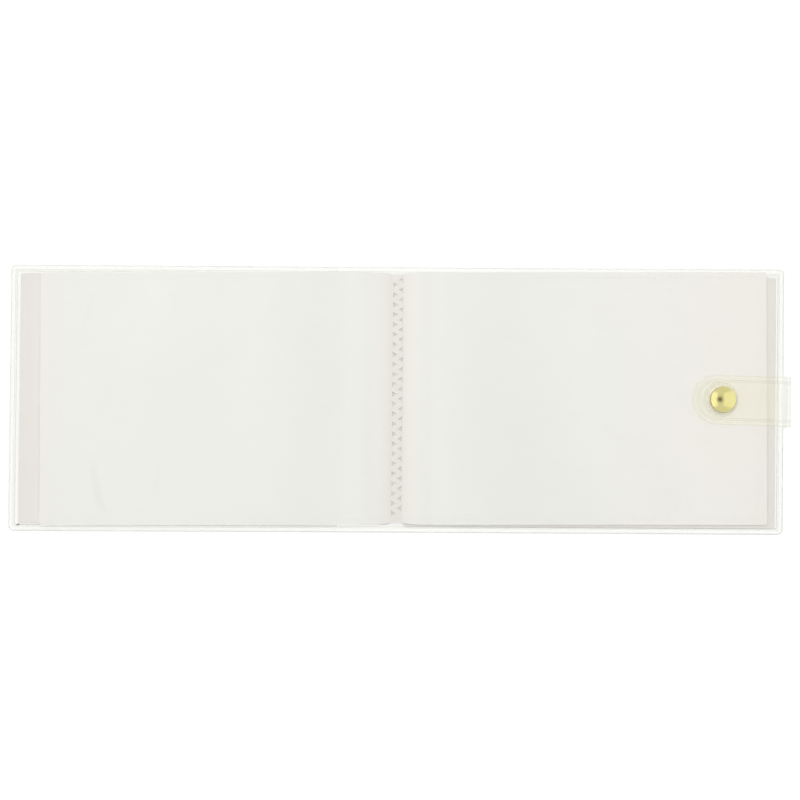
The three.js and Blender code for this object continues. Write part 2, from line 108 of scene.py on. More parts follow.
room = bpy.data.worlds.new("room")
room.use_nodes = True
bpy.context.scene.world = room
tree = room.node_tree
even_light = tree.nodes["Background"]
even_light.inputs["Color"].default_value = (1, 1, 1, 1)
even_light.inputs["Strength"].default_value = ROOM_LIGHT
white_backdrop = tree.nodes.new("ShaderNodeBackground")
white_backdrop.inputs["Color"].default_value = (1, 1, 1, 1)
lit_or_seen = tree.nodes.new("ShaderNodeMixShader")
feed(tree, lit_or_seen.inputs["Fac"], seen_directly(tree))
feed(tree, lit_or_seen.inputs[1], even_light.outputs[0])
feed(tree, lit_or_seen.inputs[2], white_backdrop.outputs[0])
feed(tree, tree.nodes["World Output"].inputs["Surface"], lit_or_seen.outputs[0])


def softbox(name, place, width, length, power):
    """One long soft lamp that faces the middle of the album."""
    lamp = bpy.data.lights.new(name, "AREA")
    lamp.shape = "RECTANGLE"
    lamp.size = width
    lamp.size_y = length
    lamp.energy = power
    holder = bpy.data.objects.new(name, lamp)
    holder.location = place
    holder.rotation_euler = (-Vector(place)).to_track_quat("-Z", "Y").to_euler()
    bpy.context.scene.collection.objects.link(holder)
    return holder


softbox("softbox_left", (-0.95, 0.0, 0.75), width=1.5, length=2.0, power=4.9)
softbox("softbox_right", (0.95, 0.0, 0.75), width=1.3, length=2.0, power=2.6)
top_box = softbox("softbox_above", (-0.03, 0.42, 1.5), width=1.3, length=1.1, power=20.4)
top_box.visible_glossy = False

# The white table top. It is white to the camera and keeps a faint part of the album's shadow.
TABLE_REACH = 2.0
TABLE_DROP = 0.0002
TABLE_PAINT = 0.6
TABLE_SHADOW = 0.2
TABLE_WHITE = 1.02


def new_material(name):
    """A new material and its tree of nodes."""
    material = bpy.data.materials.new(name)
    material.use_nodes = True
    return material, material.node_tree


def set_looks(tree, looks):
    """Gives the main shader's sockets their values or nodes, by name."""
    for name, value in looks.items():
        feed(tree, tree.nodes["Principled BSDF"].inputs[name], value)


def mixed(tree, share, first, second):
    """A colour between two others, by a share; each is a colour or a node's output."""
    mix = tree.nodes.new("ShaderNodeMix")
    mix.data_type = "RGBA"
    for name, value in (("Factor", share), ("A", first), ("B", second)):
        feed(tree, mix.inputs[name], value)
    return mix.outputs["Result"]


table_paint, tree = new_material("table_paint")
seen = seen_directly(tree)
lit_tone = (TABLE_PAINT, TABLE_PAINT, TABLE_PAINT, 1)
seen_tone = (TABLE_SHADOW, TABLE_SHADOW, TABLE_SHADOW, 1)
set_looks(tree, {
    "Base Color": mixed(tree, seen, lit_tone, seen_tone),
    "Roughness": 0.9,
    "Specular IOR Level": 0.0,
    "Emission Color": (1, 1, 1, 1),
    "Emission Strength": calculated(tree, "MULTIPLY", seen, TABLE_WHITE - TABLE_SHADOW),
})
table_mesh = bpy.data.meshes.new("table_top")
table_corners = [
    (x * TABLE_REACH, y * TABLE_REACH, -TABLE_DROP) for x, y in ((-1, -1), (1, -1), (1, 1), (-1, 1))
]
table_mesh.from_pydata(table_corners, [], [(0, 1, 2, 3)])
table_mesh.materials.append(table_paint)
table_top = bpy.data.objects.new("table_top", table_mesh)
bpy.context.scene.collection.objects.link(table_top)


# Over the table hang the dark camera and its grey stand. Only mirror-like surfaces see them:
# they are the dark spot in the brass cap.
DISC_STEPS = 48


def around(steps):
    """The angles of the steps round a circle."""
    return [2 * math.pi * i / steps for i in range(steps)]


def mirrored_disc(name, radius, height, glow):
    """A round card above the camera that shows only in reflections."""
    paint, tree = new_material(name)
    set_looks(tree, {
        "Base Color": (0, 0, 0, 1),
        "Specular IOR Level": 0.0,
        "Emission Color": (1, 1, 1, 1),
        "Emission Strength": glow,
    })
    mesh = bpy.data.meshes.new(name)
    corners = [(radius * math.cos(a), radius * math.sin(a), height) for a in around(DISC_STEPS)]
    mesh.from_pydata(corners, [], [tuple(range(DISC_STEPS))])
    mesh.materials.append(paint)
    card = bpy.data.objects.new(name, mesh)
    card.visible_camera = False
    card.visible_diffuse = False
    card.visible_transmission = False
    card.visible_shadow = False
    bpy.context.scene.collection.objects.link(card)


mirrored_disc("camera_lens", radius=0.1, height=CAMERA_HEIGHT + 0.01, glow=0.0)
mirrored_disc("camera_stand", radius=0.24, height=CAMERA_HEIGHT + 0.03, glow=0.55)


# The cover is one sheet of clear soft vinyl, 0.35 mm thick, in one length from the front over
# the spine to the strap. A hot bar has welded a fine groove round its rim, and the edge beyond
# it has swollen to a rounded bead. The spine has no crease, so the real album bends there as it
# closes; here it is built with a fixed soft bend from the level back half to the tilted front half.
VINYL_COLOR = (0.75, 0.77, 0.60, 1)
WELD_COLOR = (0.74, 0.77, 0.67, 1)
CUT_EDGE_COLOR = (0.84, 0.85, 0.815, 1)
SHADOW_KEPT = 0.1
# The rim's weld and bead, and the corners
RIM_BEAD = 0.00003
RIM_GROOVE_INSET = 0.0016
RIM_GROOVE_WIDTH = 0.0006
RIM_GROOVE_DEPTH = 0.00012
RIM_FLAT = 0.0034
RIM_CORNER = 0.002
SMALLEST_CORNER = 0.0003
CORNER_STEPS = 8
SLEEVE_EDGE = 0.0003
# The root of the strap: how far it stands out, its fillets, and which rim lines follow it
TONGUE = 0.0016
STRAP_FILLET = 0.0015
TONGUE_FOLLOWS = 0.0004
# The bend of the spine, and how much the front's fore-edge runs askew
SPINE_STEPS = 32
FRONT_SLANT = 0.05


def new_group(name, given, results):
    """A shader group with its inputs, each with its usual value, and its outputs."""
    group = bpy.data.node_groups.new(name, "ShaderNodeTree")
    for label, value in given.items():
        socket = group.interface.new_socket(label, in_out="INPUT", socket_type="NodeSocketFloat")
        socket.default_value = value
    for label in results:
        group.interface.new_socket(label, in_out="OUTPUT", socket_type="NodeSocketFloat")
    enter = group.nodes.new("NodeGroupInput").outputs
    return group, enter, group.nodes.new("NodeGroupOutput").inputs


def grouped(tree, group, label, value):
    """What a shader group gives in one material, with one of its inputs set."""
    use = tree.nodes.new("ShaderNodeGroup")
    use.node_tree = group
    use.inputs[label].default_value = value
    return use.outputs


# Shader group: the faint cloudy marks that handling leaves on soft plastic, and fine specks.
soft_marks, given, result = new_group(
    "soft_marks", {"Size": 60.0, "Fineness": 4.0}, ("Marks", "Speckle")
)
place = soft_marks.nodes.new("ShaderNodeTexCoord").outputs["Object"]
for label, size, detail, roughness in (
    ("Marks", given["Size"], given["Fineness"], 0.55),
    ("Speckle", 1400.0, 2.0, 0.5),
):
    cloud = soft_marks.nodes.new("ShaderNodeTexNoise")
    feed(soft_marks, cloud.inputs["Vector"], place)
    feed(soft_marks, cloud.inputs["Scale"], size)
    feed(soft_marks, cloud.inputs["Detail"], detail)
    feed(soft_marks, cloud.inputs["Roughness"], roughness)
    feed(soft_marks, result[label], cloud.outputs["Fac"])


def ranged(tree, value, low, high, start=0.0, end=1.0):
    """A value that goes from low to high while another goes from start to end."""
    span = tree.nodes.new("ShaderNodeMapRange")
    for name, number in (("From Min", start), ("From Max", end), ("To Min", low), ("To Max", high)):
        span.inputs[name].default_value = number
    feed(tree, span.inputs["Value"], value)
    return span.outputs["Result"]


def bumped(tree, height, strength, distance):
    """The normal of a fine relief."""
    relief = tree.nodes.new("ShaderNodeBump")
    for name, value in (("Strength", strength), ("Distance", distance), ("Height", height)):
        feed(tree, relief.inputs[name], value)
    return relief.outputs["Normal"]


def clear_plastic(name, color, *, see_through, edge_on, roughness, bump):
    """Clear plastic sheet: nearly invisible face-on, denser and darkened by painted shade where it is
    seen edge-on, and lamp light passes through with little loss."""
    material, tree = new_material(name)
    marks = grouped(tree, soft_marks, "Size", 90.0)["Marks"]
    red, green, blue, _ = color
    worn = (red * 0.93, green * 0.93, blue * 0.9, 1)
    # Painted shade: the darker colour a clear sheet shows where it is seen edge-on.
    edge = (red * 0.75, green * 0.77, blue * 0.7, 1)
    facing = tree.nodes.new("ShaderNodeLayerWeight").outputs["Facing"]
    ray = tree.nodes.new("ShaderNodeLightPath").outputs
    density = ranged(tree, facing, 1 - see_through, edge_on)
    lamp_light = calculated(tree, "MAXIMUM", ray["Is Shadow Ray"], ray["Is Diffuse Ray"])
    kept = ranged(tree, lamp_light, 1.0, SHADOW_KEPT)
    set_looks(tree, {
        "Base Color": mixed(tree, facing, mixed(tree, marks, color, worn), edge),
        "Roughness": ranged(tree, marks, roughness * 0.7, roughness * 1.3),
        "Alpha": calculated(tree, "MULTIPLY", density, kept),
        "Normal": bumped(tree, marks, bump, 0.0002),
        "IOR": 1.53,
    })
    return material


cover_vinyl = clear_plastic(
    "clear_vinyl", VINYL_COLOR, see_through=0.91, edge_on=0.5, roughness=0.12, bump=0.015
)
weld_line = clear_plastic(
    "weld_line", WELD_COLOR, see_through=0.1, edge_on=1.0, roughness=0.3, bump=0.015
)
cut_edge = clear_plastic(
    "cut_edge", CUT_EDGE_COLOR, see_through=0.1, edge_on=1.0, roughness=0.3, bump=0.015
)


def add_piece(name, solid, material, sharp=35, place=Vector):
    """Makes one closed mesh piece from its points and faces, each point put in its place. The
    normals face outwards, and all but its sharp edges are smooth."""
    points, faces = solid
    mesh = bpy.data.meshes.new(name)
    mesh.from_pydata([tuple(place(p)) for p in points], [], faces)
    work = bmesh.new()
    work.from_mesh(mesh)
    bmesh.ops.recalc_face_normals(work, faces=work.faces)
    work.to_mesh(mesh)
    work.free()
    mesh.shade_smooth()
    mesh.set_sharp_from_angle(angle=math.radians(sharp))
    mesh.materials.append(material)
    piece = bpy.data.objects.new(name, mesh)
    bpy.context.scene.collection.objects.link(piece)
    return piece


def loft(lines, closed=False):
    """Faces between each line of points and the next; closed joins each line's ends."""
    count = len(lines[0])
    reach = count if closed else count - 1
    faces = []
    for i in range(len(lines) - 1):
        for j in range(reach):
            a, b = i * count + j, i * count + (j + 1) % count
            faces.append((a, b, b + count, a + count))
    return faces


def tube_solid(lines):
    """Points and faces of a solid from closed lines that follow each other, its ends filled."""
    points = [p for line in lines for p in line]
    count = len(lines[0])
    faces = loft(lines, closed=True)
    faces.append(tuple(range(count)))
    faces.append(tuple(range(len(points) - count, len(points))))
    return points, faces


def quarter_turn(x, y, radius, start, steps):
    """Places along a quarter of a circle, from a start in degrees."""
    angles = [math.radians(start + 90 * step / steps) for step in range(steps + 1)]
    return [(x + radius * math.cos(a), y + radius * math.sin(a)) for a in angles]


def panel_line(reach, half, start, inset, z, tongue=()):
    """One line round a panel's three free sides, at one inset and height. The tongue's points,
    (how far it stands out, y), interrupt the fore-edge; only its outer lines follow them."""
    radius = max(RIM_CORNER - inset, SMALLEST_CORNER)
    x, y = reach - inset - radius, half - inset - radius
    places = [(start, inset - half)] + quarter_turn(x, -y, radius, -90, CORNER_STEPS)
    for out, along in tongue:
        follows = 1 if inset < TONGUE_FOLLOWS else 0
        places.append((reach - inset + follows * (out + inset * (out > 0)), along))
    places += quarter_turn(x, y, radius, 0, CORNER_STEPS)
    places.append((start, half - inset))
    return [Vector((*place, z)) for place in places]


def mark_lines(piece, count, bands, across=False):
    """Gives bands of faces of a section, (first line, last line, material), their own look.
    Across is for a piece whose points run line by line over the section instead."""
    for first, last, material in bands:
        if material.name not in piece.data.materials:
            piece.data.materials.append(material)
        index = piece.data.materials.find(material.name)
        for face in piece.data.polygons:
            rows = [(v % count if across else v // count) for v in face.vertices]
            if len(rows) == 4 and first <= min(rows) and max(rows) <= last:
                face.material_index = index


def end_face(lines):
    """The face that closes a solid along the ends of its open lines."""
    count = len(lines[0])
    starts = [i * count for i in range(len(lines))]
    return tuple(starts + [start + count - 1 for start in reversed(starts)])


def panel_solid(lines):
    """Points and faces of a thin panel, from the inner line on top round the rim to the last
    line below, with both flats and the end at the spine closed."""
    points = [p for line in lines for p in line]
    count = len(lines[0])
    faces = loft(lines)
    faces.append(tuple(range(count)))
    faces.append(tuple(range(len(points) - count, len(points))))
    faces.append(end_face(lines))
    return points, faces


def welded_rim(sheet, flat):
    """The rim's section as (inset, height): flat, groove, bead, edge, and back underneath."""
    groove_end = RIM_GROOVE_INSET + RIM_GROOVE_WIDTH
    return [
        (flat, sheet),
        (groove_end + 0.0003, sheet),
        (groove_end, sheet - 0.2 * RIM_GROOVE_DEPTH),
        (groove_end - 0.00015, sheet - RIM_GROOVE_DEPTH),
        (RIM_GROOVE_INSET + 0.00015, sheet - RIM_GROOVE_DEPTH),
        (RIM_GROOVE_INSET, sheet - 0.2 * RIM_GROOVE_DEPTH),
        (0.0012, sheet + 0.7 * RIM_BEAD),
        (0.0008, sheet + RIM_BEAD),
        (0.00042, sheet + 0.5 * RIM_BEAD),
        (0.0002, sheet - 0.00004),
        (0.00006, sheet - 0.00011),
        (0.0, sheet / 2),
        (0.00006, 0.0001),
        (0.0002, 0.00003),
        (0.00042, 0.0),
        (flat, 0.0),
    ]


hinge = Vector(next(j["pos_m"] for j in frame["joints"] if j["name"] == "front_cover_hinge"))
cover_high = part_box("back_cover")[1]
cover_sheet = cover_high.z
cover_half = cover_high.y
cover_reach = -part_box("front_sleeve")[0].x + SLEEVE_EDGE
spine_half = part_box("spine_strip")[1].x
strap_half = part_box("strap_web")[1].y
leaf_low, leaf_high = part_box("front_end_leaf")
end_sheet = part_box("back_end_leaf")[1].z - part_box("back_end_leaf")[0].z
left_tilt = math.atan2(leaf_high.z - leaf_low.z - end_sheet, leaf_high.x - leaf_low.x)


def on_left(point):
    """Turns a point of the level left half up to the tilt at which it lies on its stud."""
    x, y, z = point[0], point[1], point[2] - hinge.z
    turned_x = x * math.cos(left_tilt) + z * math.sin(left_tilt)
    return Vector((turned_x, y, hinge.z + z * math.cos(left_tilt) - x * math.sin(left_tilt)))


def on_front(point):
    """The matching place on the front half, whose fore-edge runs slightly askew."""
    askew = FRONT_SLANT * (point[1] + cover_half) * (point[0] - spine_half)
    return on_left((askew - point[0], point[1], point[2]))


fillet_steps = [math.radians(90 * i / 6) for i in range(7)]
tongue_low = [
    (STRAP_FILLET * (1 - math.cos(a)), -strap_half - STRAP_FILLET * (1 - math.sin(a)))
    for a in fillet_steps
]
tongue_edge = tongue_low + [(TONGUE, -strap_half), (TONGUE, -strap_half * 0.5), (TONGUE, 0.0)]
tongue_edge += [(out, -along) for out, along in tongue_edge[-2::-1]]
rim = welded_rim(cover_sheet, RIM_FLAT)
rim_looks = [(2, 3, weld_line), (4, 5, weld_line), (8, 13, cut_edge)]
right_lines = [
    panel_line(cover_reach, cover_half, spine_half, inset, z, tongue_edge) for inset, z in rim
]
back_sheet = add_piece("cover_back_sheet", panel_solid(right_lines), cover_vinyl)
mark_lines(back_sheet, len(right_lines[0]), rim_looks)
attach(back_sheet, "back_half")
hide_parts("back_cover")

left_lines = [panel_line(cover_reach, cover_half, spine_half, inset, z) for inset, z in rim]
front_sheet = add_piece(
    "cover_front_sheet", panel_solid(left_lines), cover_vinyl, place=on_front
)
mark_lines(front_sheet, len(left_lines[0]), rim_looks)
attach(front_sheet, "front_half")
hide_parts("front_cover")

spine_section = [(-cover_half + inset, z) for inset, z in rim]
spine_section += [(cover_half - inset, z) for inset, z in reversed(rim)]
spine_lines = []
for i in range(SPINE_STEPS + 1):
    across = spine_half * (1 - 2 * i / SPINE_STEPS)
    left_share = (i / SPINE_STEPS) ** 2 * (3 - 2 * i / SPINE_STEPS)
    level = [Vector((across, y, z)) for y, z in spine_section]
    spine_lines.append([p.lerp(on_left(p), left_share) for p in level])
spine_sheet = add_piece("cover_spine_sheet", tube_solid(spine_lines), cover_vinyl)
end = 2 * len(rim) - 1
far_looks = [(end - last, end - first, look) for first, last, look in rim_looks]
mark_lines(spine_sheet, len(spine_section), rim_looks + far_looks, across=True)
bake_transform(spine_sheet)
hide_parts("spine_strip")


# Inside each cover lies a sleeve of thinner clear vinyl, 0.2 mm thick, caught in the same rim
# weld on three sides and open towards the spine. It is drawn up over the stiff end leaf.
SLEEVE_COLOR = (0.85, 0.87, 0.81, 1)
SLEEVE_SHEET = 0.0002
SLEEVE_FLAT = 0.0040
SLEEVE_MOUTH = 0.022
SLEEVE_SLOPE = 0.0005

sleeve_vinyl = clear_plastic(
    "sleeve_vinyl", SLEEVE_COLOR, see_through=0.965, edge_on=0.4, roughness=0.14, bump=0.02
)
sleeve_low, sleeve_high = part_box("back_sleeve")
seat = sleeve_low.z
rise = sleeve_high.z - seat - SLEEVE_SHEET
foot = RIM_GROOVE_INSET + RIM_GROOVE_WIDTH
over = [
    (SLEEVE_FLAT, rise),
    (foot + SLEEVE_SLOPE, rise - 0.00001),
    (foot + 0.75 * SLEEVE_SLOPE, 0.93 * rise),
    (foot + 0.4 * SLEEVE_SLOPE, 0.45 * rise),
    (foot + 0.15 * SLEEVE_SLOPE, 0.08 * rise),
    (foot, 0.0),
]
sleeve_rim = [(inset, seat + z + SLEEVE_SHEET) for inset, z in over]
sleeve_rim += [
    (foot - 0.0001, seat + 0.45 * SLEEVE_SHEET),
    (RIM_GROOVE_INSET + 0.0001, seat + 0.45 * SLEEVE_SHEET),
    (RIM_GROOVE_INSET, seat + SLEEVE_SHEET),
    (0.0011, seat + SLEEVE_SHEET + RIM_BEAD),
    (SLEEVE_EDGE + 0.0002, seat + 0.9 * SLEEVE_SHEET),
    (SLEEVE_EDGE, seat + 0.5 * SLEEVE_SHEET),
    (SLEEVE_EDGE + 0.0001, seat),
]
sleeve_rim += [(inset, seat + z) for inset, z in reversed(over)]
sleeve_lines = [
    panel_line(cover_reach, cover_half, SLEEVE_MOUTH, inset, z) for inset, z in sleeve_rim
]
for name, body, node, place in (
    ("sleeve_back", "back_half", "back_sleeve", Vector),
    ("sleeve_front", "front_half", "front_sleeve", on_front),
):
    sleeve = add_piece(name, panel_solid(sleeve_lines), sleeve_vinyl, place=place)
    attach(sleeve, body)
    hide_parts(node)


# At the lower outer corner of the front sleeve the vinyl has been folded under the weld. A tiny
# near-black flake, not a millimetre and a half long, is the painted shadow that this pleat traps.
FOLD_SHADOW_COLOR = (0.03, 0.03, 0.025, 1)
FOLD_LENGTH = 0.0014
FOLD_WIDTH = 0.0004
FOLD_PLACE = (-0.14065, -0.04715)
FOLD_RUN = (0.87, 0.5)
FOLD_STEPS = 10

# Painted shadow: a near-black sheet where the pleat holds only shade.
fold_shadow_vinyl = clear_plastic(
    "fold_shadow_vinyl", FOLD_SHADOW_COLOR, see_through=0.15, edge_on=0.1, roughness=0.3, bump=0.03
)
sleeve_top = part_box("front_sleeve")[1].z
fold_lines = []
for z in (sleeve_top - 0.00005, sleeve_top + 0.00006):
    line = []
    for angle in around(FOLD_STEPS):
        along = FOLD_LENGTH / 2 * math.cos(angle)
        aside = FOLD_WIDTH / 2 * math.sin(angle) * (1 + 0.5 * math.cos(angle))
        x = FOLD_PLACE[0] + along * FOLD_RUN[0] - aside * FOLD_RUN[1]
        y = FOLD_PLACE[1] + along * FOLD_RUN[1] + aside * FOLD_RUN[0]
        line.append(Vector((x, y, z)))
    fold_lines.append(line)
fold_shadow_mark = add_piece("sleeve_corner_fold_shadow", tube_solid(fold_lines), fold_shadow_vinyl, 60)
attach(fold_shadow_mark, "front_half")


# The refill's two end leaves are stiff matt sheets, 0.35 mm thick and warm grey, pushed into the
# sleeves. They show as a grey strip beyond the pocket leaves on both sides.
END_LEAF_COLOR = (0.742, 0.717, 0.686, 1)
WORN_END_LEAF_COLOR = (0.722, 0.692, 0.655, 1)
END_LEAF_CORNER = 0.001

end_leaf_sheet, tree = new_material("end_leaf_sheet")
marks = grouped(tree, soft_marks, "Size", 45.0)
set_looks(tree, {
    "Base Color": mixed(tree, marks["Marks"], END_LEAF_COLOR, WORN_END_LEAF_COLOR),
    "Roughness": 0.55,
    "Normal": bumped(tree, marks["Speckle"], 0.15, 0.00005),
})


def stiff_leaf(low, high):
    """Points and faces of a flat sheet with rounded corners and softly broken edges."""
    edge = 0.00006
    left, right = low.x + END_LEAF_CORNER, high.x - END_LEAF_CORNER
    bottom, top = low.y + END_LEAF_CORNER, high.y - END_LEAF_CORNER
    lines = []
    for inset, z in ((edge, low.z), (0, low.z + edge), (0, high.z - edge), (edge, high.z)):
        places = []
        for start, x, y in ((0, right, top), (90, left, top), (180, left, bottom), (270, right, bottom)):
            places += quarter_turn(x, y, END_LEAF_CORNER - inset, start, 6)
        lines.append([Vector((*place, z)) for place in places])
    return tube_solid(lines)


low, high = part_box("back_end_leaf")
weld_low = -cover_half + RIM_GROOVE_INSET + RIM_GROOVE_WIDTH + 0.0001
back_solid = stiff_leaf(Vector((low.x, weld_low, low.z)), high)
back_leaf = add_piece("end_leaf_back", back_solid, end_leaf_sheet)
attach(back_leaf, "back_half")
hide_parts("back_end_leaf")
front_reach = -leaf_low.x / math.cos(left_tilt)
front_solid = stiff_leaf(low, Vector((front_reach, high.y, high.z)))
front_leaf = add_piece("end_leaf_front", front_solid, end_leaf_sheet, place=on_front)
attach(front_leaf, "front_half")
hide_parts("front_end_leaf")


# Each pocket leaf is two frosted polypropylene films, finely ribbed along the page, welded to
# each other along the top and bottom by a row of small triangular dots and open at the
# fore-edge. The leaves rise from the gutter weld in a low arch before they lie flat.
LEAVES = 6
FILM = 0.00008
FILM_GAP = 0.000008
FILM_CORNER = 0.001
# Colours, where the film is clean, cloudy, rubbed by hands, warmed by the weld (and darkened there as
# painted shade) and fused
FILM_COLOR = (0.803, 0.808, 0.767, 1)
CLOUDY_FILM_COLOR = (0.778, 0.784, 0.741, 1)
RUBBED_FILM_COLOR = (0.828, 0.786, 0.738, 1)
WARM_SHADED_FILM_COLOR = (0.786, 0.767, 0.722, 1)
FUSED_COLOR = (0.745, 0.723, 0.675, 1)
FUSED_WORN = (0.712, 0.688, 0.64, 1)
DOT_COLOR = (0.705, 0.705, 0.66, 1)
DOT_WORN = (0.675, 0.675, 0.625, 1)
WARM_LEVEL = 0.45
HANDLED_FROM = 0.060
HANDLED_TO = 0.130
FORE_EDGE_WEAR = 0.35
FORE_EDGE_REACH = 0.006
FILM_OPACITY = 0.9
FILM_SHADOW = 0.04
# The rise from the gutter, and the arches as (place of the crest, width, height)
GUTTER_START = 0.0021
GUTTER_DIP = 0.0008
DIP_REACH = 0.003
ARCH_FOOT = 0.013
PRESSED_REACH = 0.0012
RIGHT_ARCH = (0.0161, 0.029, 0.00036)
LEFT_ARCH = (0.0175, 0.0158, 0.0002)
ARCH_SPREAD = 0.3
LEAF_WAVE = 0.00005
# Painted shade: the film's colour darkens where its low arch slopes, standing in for a taller arch.
STEEP_SLOPE = 0.0165
STEEP_PAINTED_SHADE = 0.925
SHADED_FROM = 0.6
# Creases, and the painted shade along them
CREASE_STEP = 0.0004
CREASE_RISE = 0.00002
CREASE_WIDTH = 0.0009
CREASE_PAINTED_SHADE = 0.5
# How the leaves lie
PAGE_TURN = math.tan(CAMERA_TURN)
FORE_EDGE_SLANT = 0.064
LEAF_STAGGER = 0.00025
BAND_SKIN = 0.0002
# Ribs and weld dots
RIB_PITCH = 0.00075
DOT_PITCH = 0.00265
DOT_RADIUS = 0.00056
DOT_INSET = 0.0018
DOT_STAND = 0.00001
RIB_VALLEY_SHADE = 0.972
# The grids, (columns, rows), and how much closer their columns stand towards the gutter
FINE_GRID = (96, 64)
PLAIN_GRID = (40, 12)
GRID_CROWDING = 1.25
SLOPE_STEP = 0.0005


def own_axis(tree, axis):
    """How far along one of its own axes each point of a piece lies."""
    split = tree.nodes.new("ShaderNodeSeparateXYZ")
    place = tree.nodes.new("ShaderNodeTexCoord").outputs["Object"]
    feed(tree, split.inputs["Vector"], place)
    return split.outputs[axis]


# Shader group: the fine ribs that the embossing roller leaves along the film.
film_ribs, given, result = new_group("film_ribs", {"Pitch": RIB_PITCH}, ("Height",))
turns = calculated(film_ribs, "DIVIDE", own_axis(film_ribs, "Y"), given["Pitch"])
angle = calculated(film_ribs, "MULTIPLY", turns, 2 * math.pi)
feed(film_ribs, result["Height"], calculated(film_ribs, "SINE", angle))


def own_mask(tree, name):
    """A mask that a mesh carries with it, point by point."""
    mask = tree.nodes.new("ShaderNodeAttribute")
    mask.attribute_name = name
    return mask.outputs["Fac"]


def scaled(tree, color, factor):
    """A colour made darker or lighter by a factor."""
    scale = tree.nodes.new("ShaderNodeVectorMath")
    scale.operation = "SCALE"
    feed(tree, scale.inputs[0], color)
    feed(tree, scale.inputs["Scale"], factor)
    return scale.outputs[0]


frosted_film, tree = new_material("frosted_film")
marks = grouped(tree, soft_marks, "Size", 28.0)["Marks"]
ribs = grouped(tree, film_ribs, "Pitch", RIB_PITCH)["Height"]
pressed = own_mask(tree, "pressed")
handled = ranged(tree, own_axis(tree, "X"), 0.0, 1.0, HANDLED_FROM, HANDLED_TO)
patchy = calculated(tree, "MULTIPLY", handled, marks)
tone = mixed(tree, marks, FILM_COLOR, CLOUDY_FILM_COLOR)
tone = mixed(tree, patchy, tone, RUBBED_FILM_COLOR)
# Towards the gutter the film turns warm and a little darker: its own tint, and painted shade.
tone = mixed(tree, ranged(tree, pressed, 0.0, 1.0, 0.0, WARM_LEVEL), tone, WARM_SHADED_FILM_COLOR)
tone = mixed(tree, ranged(tree, pressed, 0.0, 1.0, WARM_LEVEL), tone, FUSED_COLOR)
# Painted shade: the film is a little darker in the hollows between its ribs.
tone = scaled(tree, tone, ranged(tree, ribs, RIB_VALLEY_SHADE, 1.0, -1.0))
shadow_ray = tree.nodes.new("ShaderNodeLightPath").outputs["Is Shadow Ray"]
set_looks(tree, {
    # The shade mask darkens the colour: painted shade on the arch's slopes and along the creases.
    "Base Color": scaled(tree, tone, ranged(tree, own_mask(tree, "shade"), 1.0, STEEP_PAINTED_SHADE)),
    "Roughness": 0.42,
    "Alpha": ranged(tree, shadow_ray, FILM_OPACITY, FILM_SHADOW),
    "Normal": bumped(tree, ribs, 0.35, 0.00002),
})


def fused_plastic(name, color, worn):
    """Film that heat has fused to a solid: cloudy, with a faintly melted face."""
    material, tree = new_material(name)
    marks = grouped(tree, soft_marks, "Size", 300.0)["Marks"]
    set_looks(tree, {
        "Base Color": mixed(tree, marks, color, worn),
        "Roughness": 0.35,
        "Normal": bumped(tree, marks, 0.2, 0.00005),
    })
    return material


dot_film = fused_plastic("dot_film", DOT_COLOR, DOT_WORN)


def gutter_share(x):
    """How far down the slope to the gutter weld a place lies: 0 at its top, 1 at the weld."""
    return min(max((ARCH_FOOT - x) / (ARCH_FOOT - GUTTER_START), 0.0), 1.0)


def leaf_height(x, y, flat, root, leaf, arch):
    """How high a film lies: from the gutter weld over the arch to its flat, with soft waves."""
    crest, width, tall = arch
    share = (LEAVES + 1 - leaf) / LEAVES
    width = width * (1 + ARCH_SPREAD * max(-y, 0) / leaf_half)
    hump = tall * share * math.exp(-(((x - crest) / width) ** 2))
    wave = LEAF_WAVE * (1 - 0.12 * (leaf - 1)) * noise.noise(Vector((x * 22, y * 30, 0.5)))
    before = gutter_share(x)
    risen = (1 - before) ** 2 * (1 + 2 * before)
    return root * before**2 + flat * (1 - before**2) + (hump + wave) * risen


def pressed_share(x):
    """How tightly the leaves are pressed together: 1 at the gutter weld, 0 where they lie free."""
    tight = math.exp(-(x - GUTTER_START) / PRESSED_REACH)
    return WARM_LEVEL * gutter_share(x) + (1 - WARM_LEVEL) * tight


